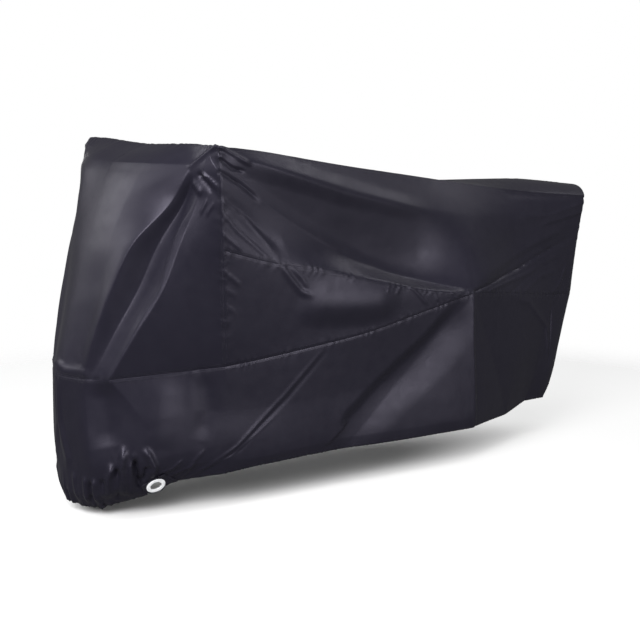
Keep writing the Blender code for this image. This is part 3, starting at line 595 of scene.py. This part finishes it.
def ripple(run, distance, spacing):
    """Uneven puckers along a seam: between -1 and 1."""
    turn = 2 * math.pi * (run + RIPPLE_SLANT * distance) / spacing
    swell = 1 - RIPPLE_SWELL + RIPPLE_SWELL * np.sin(turn / SWELL_OVER + SWELL_START)
    return np.sin(turn + RIPPLE_WANDER * np.sin(turn / WANDER_OVER)) * swell


def seam_relief(points, seams):
    """The height that seams give each point, and how far the nearest seam is and how far along it the point is."""
    names = list(seams)
    tree = KDTree(sum(len(seams[name]) for name in names))
    samples = []
    for kind, name in enumerate(names):
        line = seams[name]
        run = np.concatenate([[0.0], np.cumsum(np.linalg.norm(np.diff(line, axis=0), axis=1))])
        for place, at in zip(line, run):
            tree.insert(place, len(samples))
            samples.append((kind, at))
    tree.balance()
    found = [tree.find(point)[1:] for point in points]
    index, distance = (np.array(column) for column in zip(*found))
    samples = np.array(samples)
    kind = samples[index, 0].astype(int)
    run = samples[index, 1]
    sizes = np.array([SEAMS[name] for name in names]) / 1000
    groove, pucker, reach, spacing = sizes[kind].T
    relief = -groove * np.exp(-((distance / GROOVE_REACH) ** 2))
    relief += pucker * np.exp(-((distance / reach) ** 2)) * ripple(run, distance, spacing)
    return relief, distance, run


def gathers(points, hem):
    """The height that the elastic's gathers round the front hem give each point."""
    height, reach, spacing = (value / 1000 for value in NOSE_GATHERS)
    behind, above = GATHERS_WITHIN
    nose = hem[hem[:, 0] < GATHERED_TO]
    run = np.concatenate([[0.0], np.cumsum(np.linalg.norm(np.diff(nose, axis=0), axis=1))])
    total = np.zeros(len(points))
    low = np.flatnonzero((points[:, 2] < above) & (points[:, 0] < behind))
    distance = np.linalg.norm(points[low][:, None, :] - nose[None, ::2], axis=2)
    nearest = distance.argmin(axis=1)
    distance = distance[np.arange(len(low)), nearest]
    total[low] = height * np.exp(-((distance / reach) ** 2)) * ripple(run[::2][nearest], 0, spacing)
    return total


def undulations(points):
    """The height that long, faint waves of the cloth give each point."""
    total = np.zeros(len(points))
    for length, height, phase in UNDULATIONS:
        x, y, z = (points * 2 * math.pi / length).T
        bend = 1.7 * np.sin(0.6 * z + phase + 0.5 * y)
        total += height / 1000 * np.sin(x * math.cos(phase) + z * math.sin(phase) + bend)
    return total


def surface_normals(base, grids, weld):
    """The way out of the surface at each point. weld gives the point that each place of the grids became."""
    total = np.zeros_like(base)
    start = 0
    for grid in grids.values():
        rows, columns = grid.shape[:2]
        ids = weld[start : start + rows * columns].reshape(rows, columns)
        start += rows * columns
        corners = [ids[:-1, :-1], ids[1:, :-1], ids[1:, 1:], ids[:-1, 1:]]
        a, b, c, d = (base[corner.reshape(-1)] for corner in corners)
        area = np.cross(c - a, d - b)
        for corner in corners:
            np.add.at(total, corner.reshape(-1), area)
    total[abs(base[:, 1]) < ON_MIDDLE, 1] = 0.0
    return total / np.maximum(np.linalg.norm(total, axis=1, keepdims=True), 1e-12)


def panel_surfaces():
    """Every panel's grid in its final place, with the way to the nearest seam and along it: {name: (points, ways)}."""
    result = {}
    for right in (False, True):
        grids, seams = half_grids(right)
        points = np.concatenate([grid.reshape(-1, 3) for grid in grids.values()])
        _, first, weld = np.unique(np.round(points, 5), axis=0, return_index=True, return_inverse=True)
        weld = weld.reshape(-1)
        base = points[first]
        normals = surface_normals(base, grids, weld)
        relief, distance, run = seam_relief(base, seams)
        share = 1.0
        if right:
            share = 1 - (1 - HIDDEN_SHARE) * smooth(-base[:, 1] / HIDDEN_FROM)
            low, high, least = FAR_PEAK
            share *= 1 - (1 - least) * smooth((base[:, 2] - low) / (high - low)) * (base[:, 0] < FAR_PEAK_X)
        height = (creases(base, normals) + undulations(base)) * share + relief + gathers(base, seams["hem"])
        moved = base + height[:, None] * normals
        moved[:, 1] = np.where(abs(base[:, 1]) < ON_MIDDLE, 0.0, moved[:, 1])
        if right:
            moved = raise_right_peak(moved * (1, -1, 1))
        moved[:, 2] -= ROOF_HEIGHT
        start = 0
        for name, grid in grids.items():
            ids = weld[start : start + grid.shape[0] * grid.shape[1]].reshape(grid.shape[:2])
            start += ids.size
            result[name, right] = (moved[ids], np.stack([distance[ids], run[ids]], axis=-1))
    return result


def grid_faces(rows, columns, turned):
    """The four corners of every face of a grid."""
    ids = np.arange(rows * columns).reshape(rows, columns)
    corners = [ids[:-1, :-1], ids[1:, :-1], ids[1:, 1:], ids[:-1, 1:]]
    if turned:
        corners.reverse()
    return np.stack([corner.reshape(-1) for corner in corners], axis=-1)


def sheet_object(name, parts, material):
    """One sheet from (points, ways, turned) grids, with seam distance and run as its UV map."""
    vertices, faces, ways = [], [], []
    start = 0
    for points, way, turned in parts:
        rows, columns = points.shape[:2]
        vertices.append(points.reshape(-1, 3))
        ways.append(way.reshape(-1, 2))
        faces.append(grid_faces(rows, columns, turned) + start)
        start += rows * columns
    mesh = bpy.data.meshes.new(name)
    mesh.from_pydata(np.concatenate(vertices).tolist(), [], np.concatenate(faces).tolist())
    layer = mesh.uv_layers.new(name="seam")
    loops = np.empty(len(mesh.loops), dtype=np.int32)
    mesh.loops.foreach_get("vertex_index", loops)
    layer.data.foreach_set("uv", np.concatenate(ways)[loops].astype(np.float32).reshape(-1))
    mesh.shade_smooth()
    mesh.materials.append(material)
    made = bpy.data.objects.new(name, mesh)
    bpy.context.scene.collection.objects.link(made)
    weld = made.modifiers.new("weld", "WELD")
    weld.merge_threshold = WELD
    return made


def turned_hem(points, ways):
    """The skirt's grid with its hem turned in: two more rows behind the last."""
    last, above = points[-1], points[-3]
    up = above - last
    up /= np.linalg.norm(up, axis=1, keepdims=True)
    inward = np.cross(np.gradient(last, axis=0), up)
    inward /= np.linalg.norm(inward, axis=1, keepdims=True)
    middle = np.array([last[:, 0].mean(), 0.0, last[:, 2].mean()])
    inward *= np.sign(np.einsum("ij,ij->i", inward, middle - last))[:, None]
    rows = [last + into * inward + rise * up for into, rise in HEM_TURN]
    return np.concatenate([points, rows]), np.concatenate([ways, ways[-1:], ways[-1:] + (0.01, 0)])


def node(tree, kind, inputs=(), **settings):
    """A new shader node. An input is either another node's output or a plain value."""
    made = tree.nodes.new(kind)
    for key, value in settings.items():
        setattr(made, key, value)
    for key, value in dict(inputs).items():
        if isinstance(value, bpy.types.NodeSocket):
            tree.links.new(value, made.inputs[key])
        else:
            made.inputs[key].default_value = value
    return made


def math_node(tree, operation, a, b=None):
    inputs = {0: a} if b is None else {0: a, 1: b}
    return node(tree, "ShaderNodeMath", inputs, operation=operation).outputs[0]


def noise_node(tree, place, scale, detail, roughness=0.5):
    inputs = {"Vector": place, "Scale": scale, "Detail": detail, "Roughness": roughness}
    return node(tree, "ShaderNodeTexNoise", inputs).outputs[0]


def ramp_node(tree, value, colours):
    ramp = node(tree, "ShaderNodeValToRGB", {0: value})
    for element, colour in zip(ramp.color_ramp.elements, colours):
        element.color = colour
    return ramp.outputs[0]


def range_node(tree, value, given, wanted=(0.0, 1.0), kind="LINEAR"):
    inputs = {0: value, 1: given[0], 2: given[1], 3: wanted[0], 4: wanted[1]}
    return node(tree, "ShaderNodeMapRange", inputs, interpolation_type=kind).outputs[0]


def bump_node(tree, height, strength, depth, normal=None):
    inputs = {"Height": height, "Strength": strength, "Distance": depth}
    if normal is not None:
        inputs["Normal"] = normal
    return node(tree, "ShaderNodeBump", inputs).outputs[0]


def new_material(name):
    """A material, its nodes, its shader, and each point's place on the object."""
    material = bpy.data.materials.new(name)
    material.use_nodes = True
    tree = material.node_tree
    place = node(tree, "ShaderNodeTexCoord").outputs["Object"]
    return material, tree, tree.nodes["Principled BSDF"], place


def stitch_mask(tree):
    """1 on the stitches, which run in rows by each seam, and 0 elsewhere."""
    ways = node(tree, "ShaderNodeSeparateXYZ", {0: node(tree, "ShaderNodeUVMap", uv_map="seam").outputs[0]})
    distance, run = ways.outputs[0], ways.outputs[1]
    rows = []
    for row in STITCH_ROWS:
        off = math_node(tree, "ABSOLUTE", math_node(tree, "SUBTRACT", distance, row))
        rows.append(math_node(tree, "LESS_THAN", off, STITCH_HALF_WIDTH))
    along = math_node(tree, "FRACT", math_node(tree, "DIVIDE", run, STITCH_PITCH))
    dash = math_node(tree, "LESS_THAN", along, STITCH_SHARE)
    return math_node(tree, "MULTIPLY", math_node(tree, "MAXIMUM", *rows), dash)


def taffeta_material():
    """Smooth coated taffeta: a tight weave, soft crumple, rows of stitches by the seams, a soft gloss."""
    material, tree, shader, place = new_material("taffeta")
    waves = []
    for bands in ("X", "Z"):
        inputs = {"Vector": place, "Scale": WEAVE_SCALE}
        waves.append(node(tree, "ShaderNodeTexWave", inputs, bands_direction=bands).outputs[1])
    relief = {
        "crumple": noise_node(tree, place, 26.0, 4.0, 0.55),
        "fine": noise_node(tree, place, 90.0, 2.0),
        "weave": math_node(tree, "MULTIPLY", *waves),
        "stitch": stitch_mask(tree),
    }
    normal = None
    for name, (strength, depth) in CLOTH_BUMPS.items():
        normal = bump_node(tree, relief[name], strength, depth, normal)
    tree.links.new(normal, shader.inputs["Normal"])
    cloth = ramp_node(tree, noise_node(tree, place, 3.0, 3.0), CLOTH_COLOURS)
    inputs = {"Factor": relief["stitch"], 6: cloth, 7: THREAD_COLOUR}
    mix = node(tree, "ShaderNodeMix", inputs, data_type="RGBA")
    tree.links.new(mix.outputs[2], shader.inputs["Base Color"])
    gloss = range_node(tree, relief["crumple"], NOISE_RANGE, CLOTH_ROUGHNESS)
    tree.links.new(gloss, shader.inputs["Roughness"])
    shader.inputs["Specular IOR Level"].default_value = 0.30
    shader.inputs["Specular Tint"].default_value = (0.86, 0.81, 1.0, 1)
    shader.inputs["Sheen Weight"].default_value = 0.02
    shader.inputs["Sheen Roughness"].default_value = 0.45
    return material


def plastic_material():
    """White moulded plastic with a faint grain and handling marks."""
    material, tree, shader, place = new_material("eyelet_plastic")
    marks = noise_node(tree, place, 60.0, 4.0)
    tree.links.new(ramp_node(tree, marks, PLASTIC_COLOURS), shader.inputs["Base Color"])
    rough = range_node(tree, marks, NOISE_RANGE, PLASTIC_ROUGHNESS)
    tree.links.new(rough, shader.inputs["Roughness"])
    grain = bump_node(tree, noise_node(tree, place, 320.0, 3.0), 0.08, 0.0004)
    tree.links.new(grain, shader.inputs["Normal"])
    return material


def tab_frame(right):
    """The place of the eyelet's strip, as a matrix from its own plane."""
    run, up, out = tab_axes()
    placed = Matrix((run, up, out)).transposed().to_4x4()
    placed.translation = Vector(TAB_CENTRE) - Vector((0, 0, ROOF_HEIGHT))
    return Matrix.Scale(-1, 4, (0, 1, 0)) @ placed if right else placed


def in_tab_frame(points, right):
    place = np.array(tab_frame(right))
    return points @ place[:3, :3].T + place[:3, 3]


def round_turn(steps):
    """The angles of a full turn, the last one on the first."""
    return np.arange(steps + 1) * 2 * math.pi / steps


def outline_radius(angle):
    """How far the strip's outline is from the eyelet's centre in this direction."""
    corners = [Vector(corner) for corner in TAB_OUTLINE]
    for turn in np.linspace(*TAB_ARC, TAB_ARC_POINTS):
        corners.append(TAB_ARC_RADIUS * Vector((math.cos(turn), math.sin(turn))))
    way = Vector((math.cos(angle), math.sin(angle)))
    for a, b in zip(corners, corners[1:] + corners[:1]):
        side_a, side_b = way.cross(a), way.cross(b)
        if side_a <= 0 < side_b:
            return (a + (b - a) * side_a / (side_a - side_b)).dot(way)
    return TAB_ARC_RADIUS


def lock_patch(right, material):
    """The strip that holds the eyelet: rings from its hole to its outline, wavy clear of the eyelet."""
    wave_from, wave_over, wave_height = TAB_WAVE
    points = np.zeros((TAB_RINGS, TAB_STEPS + 1, 3))
    ways = np.zeros((TAB_RINGS, TAB_STEPS + 1, 2))
    for column, angle in enumerate(round_turn(TAB_STEPS)):
        outer = outline_radius(angle)
        for ring in range(TAB_RINGS):
            radius = TAB_HOLE + (outer - TAB_HOLE) * ring / (TAB_RINGS - 1)
            wave = math.sin(TAB_WAVES_ROUND * angle + TAB_WAVE_TWIST * radius)
            lift = TAB_LIFT + smooth((radius - wave_from) / wave_over) * wave_height * wave
            points[ring, column] = (radius * math.cos(angle), radius * math.sin(angle), lift)
            ways[ring, column] = (outer - radius, angle * TAB_ARC_RADIUS)
    name = "lock_strip_" + ("R" if right else "L")
    made = sheet_object(name, [(in_tab_frame(points, right), ways, not right)], material)
    solid = made.modifiers.new("cloth", "SOLIDIFY")
    solid.thickness = TAB_THICKNESS
    return made


def eyelet(right, material):
    """The ring, turned from its outline."""
    angles = round_turn(EYELET_STEPS)
    radius, height = np.array(EYELET_PROFILE + EYELET_PROFILE[:1]).T[:, :, None]
    points = [radius * np.cos(angles), radius * np.sin(angles), height + 0 * angles]
    points = in_tab_frame(np.stack(points, axis=-1), right)
    ways = np.full(points.shape[:2] + (2,), 0.1)  # no stitches here
    made = sheet_object("eyelet_ring_" + ("R" if right else "L"), [(points, ways, right)], material)
    made.data.set_sharp_from_angle(angle=EYELET_SHARP)
    return made


def dress():
    """Makes every piece, and hides the solid that it stands for."""
    cloth, plastic = taffeta_material(), plastic_material()
    surfaces = panel_surfaces()
    sheets = []
    for name in ("front_panel", "rear_panel"):
        parts = [(*surfaces[name, right], right) for right in (False, True)]
        sheets.append((sheet_object(name + "_cloth", parts, cloth), name))
    for name in ("side_panel", "wedge_panel", "skirt"):
        for right, letter in ((False, "L"), (True, "R")):
            points, ways = surfaces[name, right]
            if name == "skirt":
                points, ways = turned_hem(points, ways)
            made = sheet_object(f"{name}_{letter}_cloth", [(points, ways, right)], cloth)
            if name == "side_panel":
                made.data.set_sharp_from_angle(angle=ROOF_EDGE_SHARP)
            sheets.append((made, f"{name}_{letter}"))
    for right, letter in ((False, "L"), (True, "R")):
        sheets.append((lock_patch(right, cloth), "lock_patch_" + letter))
        ring = eyelet(right, plastic)
        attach(ring, "root")
        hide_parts("eyelet_" + letter)
    for made, solid in sheets:
        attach(made, "root")
        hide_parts(solid)


def area_light(name, azimuth, elevation, distance, size, power):
    """A soft box that faces the cover."""
    light = bpy.data.lights.new(name, "AREA")
    light.shape = "RECTANGLE"
    light.size, light.size_y = size
    light.energy = power
    made = bpy.data.objects.new(name, light)
    bpy.context.scene.collection.objects.link(made)
    turn, rise = math.radians(azimuth), math.radians(elevation)
    way = Vector((math.cos(turn) * math.cos(rise), math.sin(turn) * math.cos(rise), math.sin(rise)))
    made.location = Vector(LIGHT_TARGET) + distance * way
    made.rotation_euler = (-way).to_track_quat("-Z", "Y").to_euler()


def paper_material():
    """Pale paper that turns clear away from the cover."""
    material, tree, shader, place = new_material("paper")
    shader.inputs["Base Color"].default_value = (0.92, 0.92, 0.92, 1)
    shader.inputs["Roughness"].default_value = 0.9
    shader.inputs["Specular IOR Level"].default_value = 0.1
    away = node(tree, "ShaderNodeVectorMath", {0: place}, operation="LENGTH").outputs["Value"]
    far = range_node(tree, away, FLOOR_FAR, kind="SMOOTHSTEP")
    beside = node(tree, "ShaderNodeVectorMath", {0: place, 1: FLOOR_SHIFT}, operation="ADD").outputs[0]
    beside = node(tree, "ShaderNodeVectorMath", {0: beside, 1: FLOOR_STRETCH}, operation="MULTIPLY").outputs[0]
    beside = node(tree, "ShaderNodeVectorMath", {0: beside}, operation="LENGTH").outputs["Value"]
    near = range_node(tree, beside, FLOOR_BESIDE[:2], (0.0, FLOOR_BESIDE[2]), "SMOOTHSTEP")
    clear = node(tree, "ShaderNodeBsdfTransparent").outputs[0]
    fade = math_node(tree, "MAXIMUM", near, far)
    mix = node(tree, "ShaderNodeMixShader", {0: fade, 1: shader.outputs[0], 2: clear})
    tree.links.new(mix.outputs[0], tree.nodes["Material Output"].inputs[0])
    return material


def studio():
    """A pale floor that fades into a white surround, and soft boxes all round."""
    size = FLOOR_HALF
    ground = bpy.data.meshes.new("floor")
    ground.from_pydata([(-size, -size, 0), (size, -size, 0), (size, size, 0), (-size, size, 0)], [], [(0, 1, 2, 3)])
    ground.materials.append(paper_material())
    floor = bpy.data.objects.new("floor", ground)
    bpy.context.scene.collection.objects.link(floor)
    floor.location.z = -ROOF_HEIGHT
    floor.visible_glossy = False
    world = bpy.data.worlds.new("studio")
    bpy.context.scene.world = world
    world.use_nodes = True
    tree = world.node_tree
    background = tree.nodes["Background"]
    seen = node(tree, "ShaderNodeLightPath").outputs["Is Camera Ray"]
    background.inputs[0].default_value = (1, 1, 1, 1)
    tree.links.new(range_node(tree, seen, (0.0, 1.0), SURROUND), background.inputs[1])
    for name, row in LIGHTS.items():
        area_light(name, *row)


def camera():
    """The photograph's own view."""
    lens = bpy.data.cameras.new("camera")
    lens.lens = CAMERA_LENS
    made = bpy.data.objects.new("camera", lens)
    bpy.context.scene.collection.objects.link(made)
    x, y, z = CAMERA_PLACE
    made.location = (x, y, z - ROOF_HEIGHT)
    made.rotation_euler = (math.radians(90 - CAMERA_DOWN), 0, -math.radians(CAMERA_TURN))
    bpy.context.scene.camera = made


camera()
studio()
dress()
bpy.context.scene.view_settings.view_transform = "Standard"
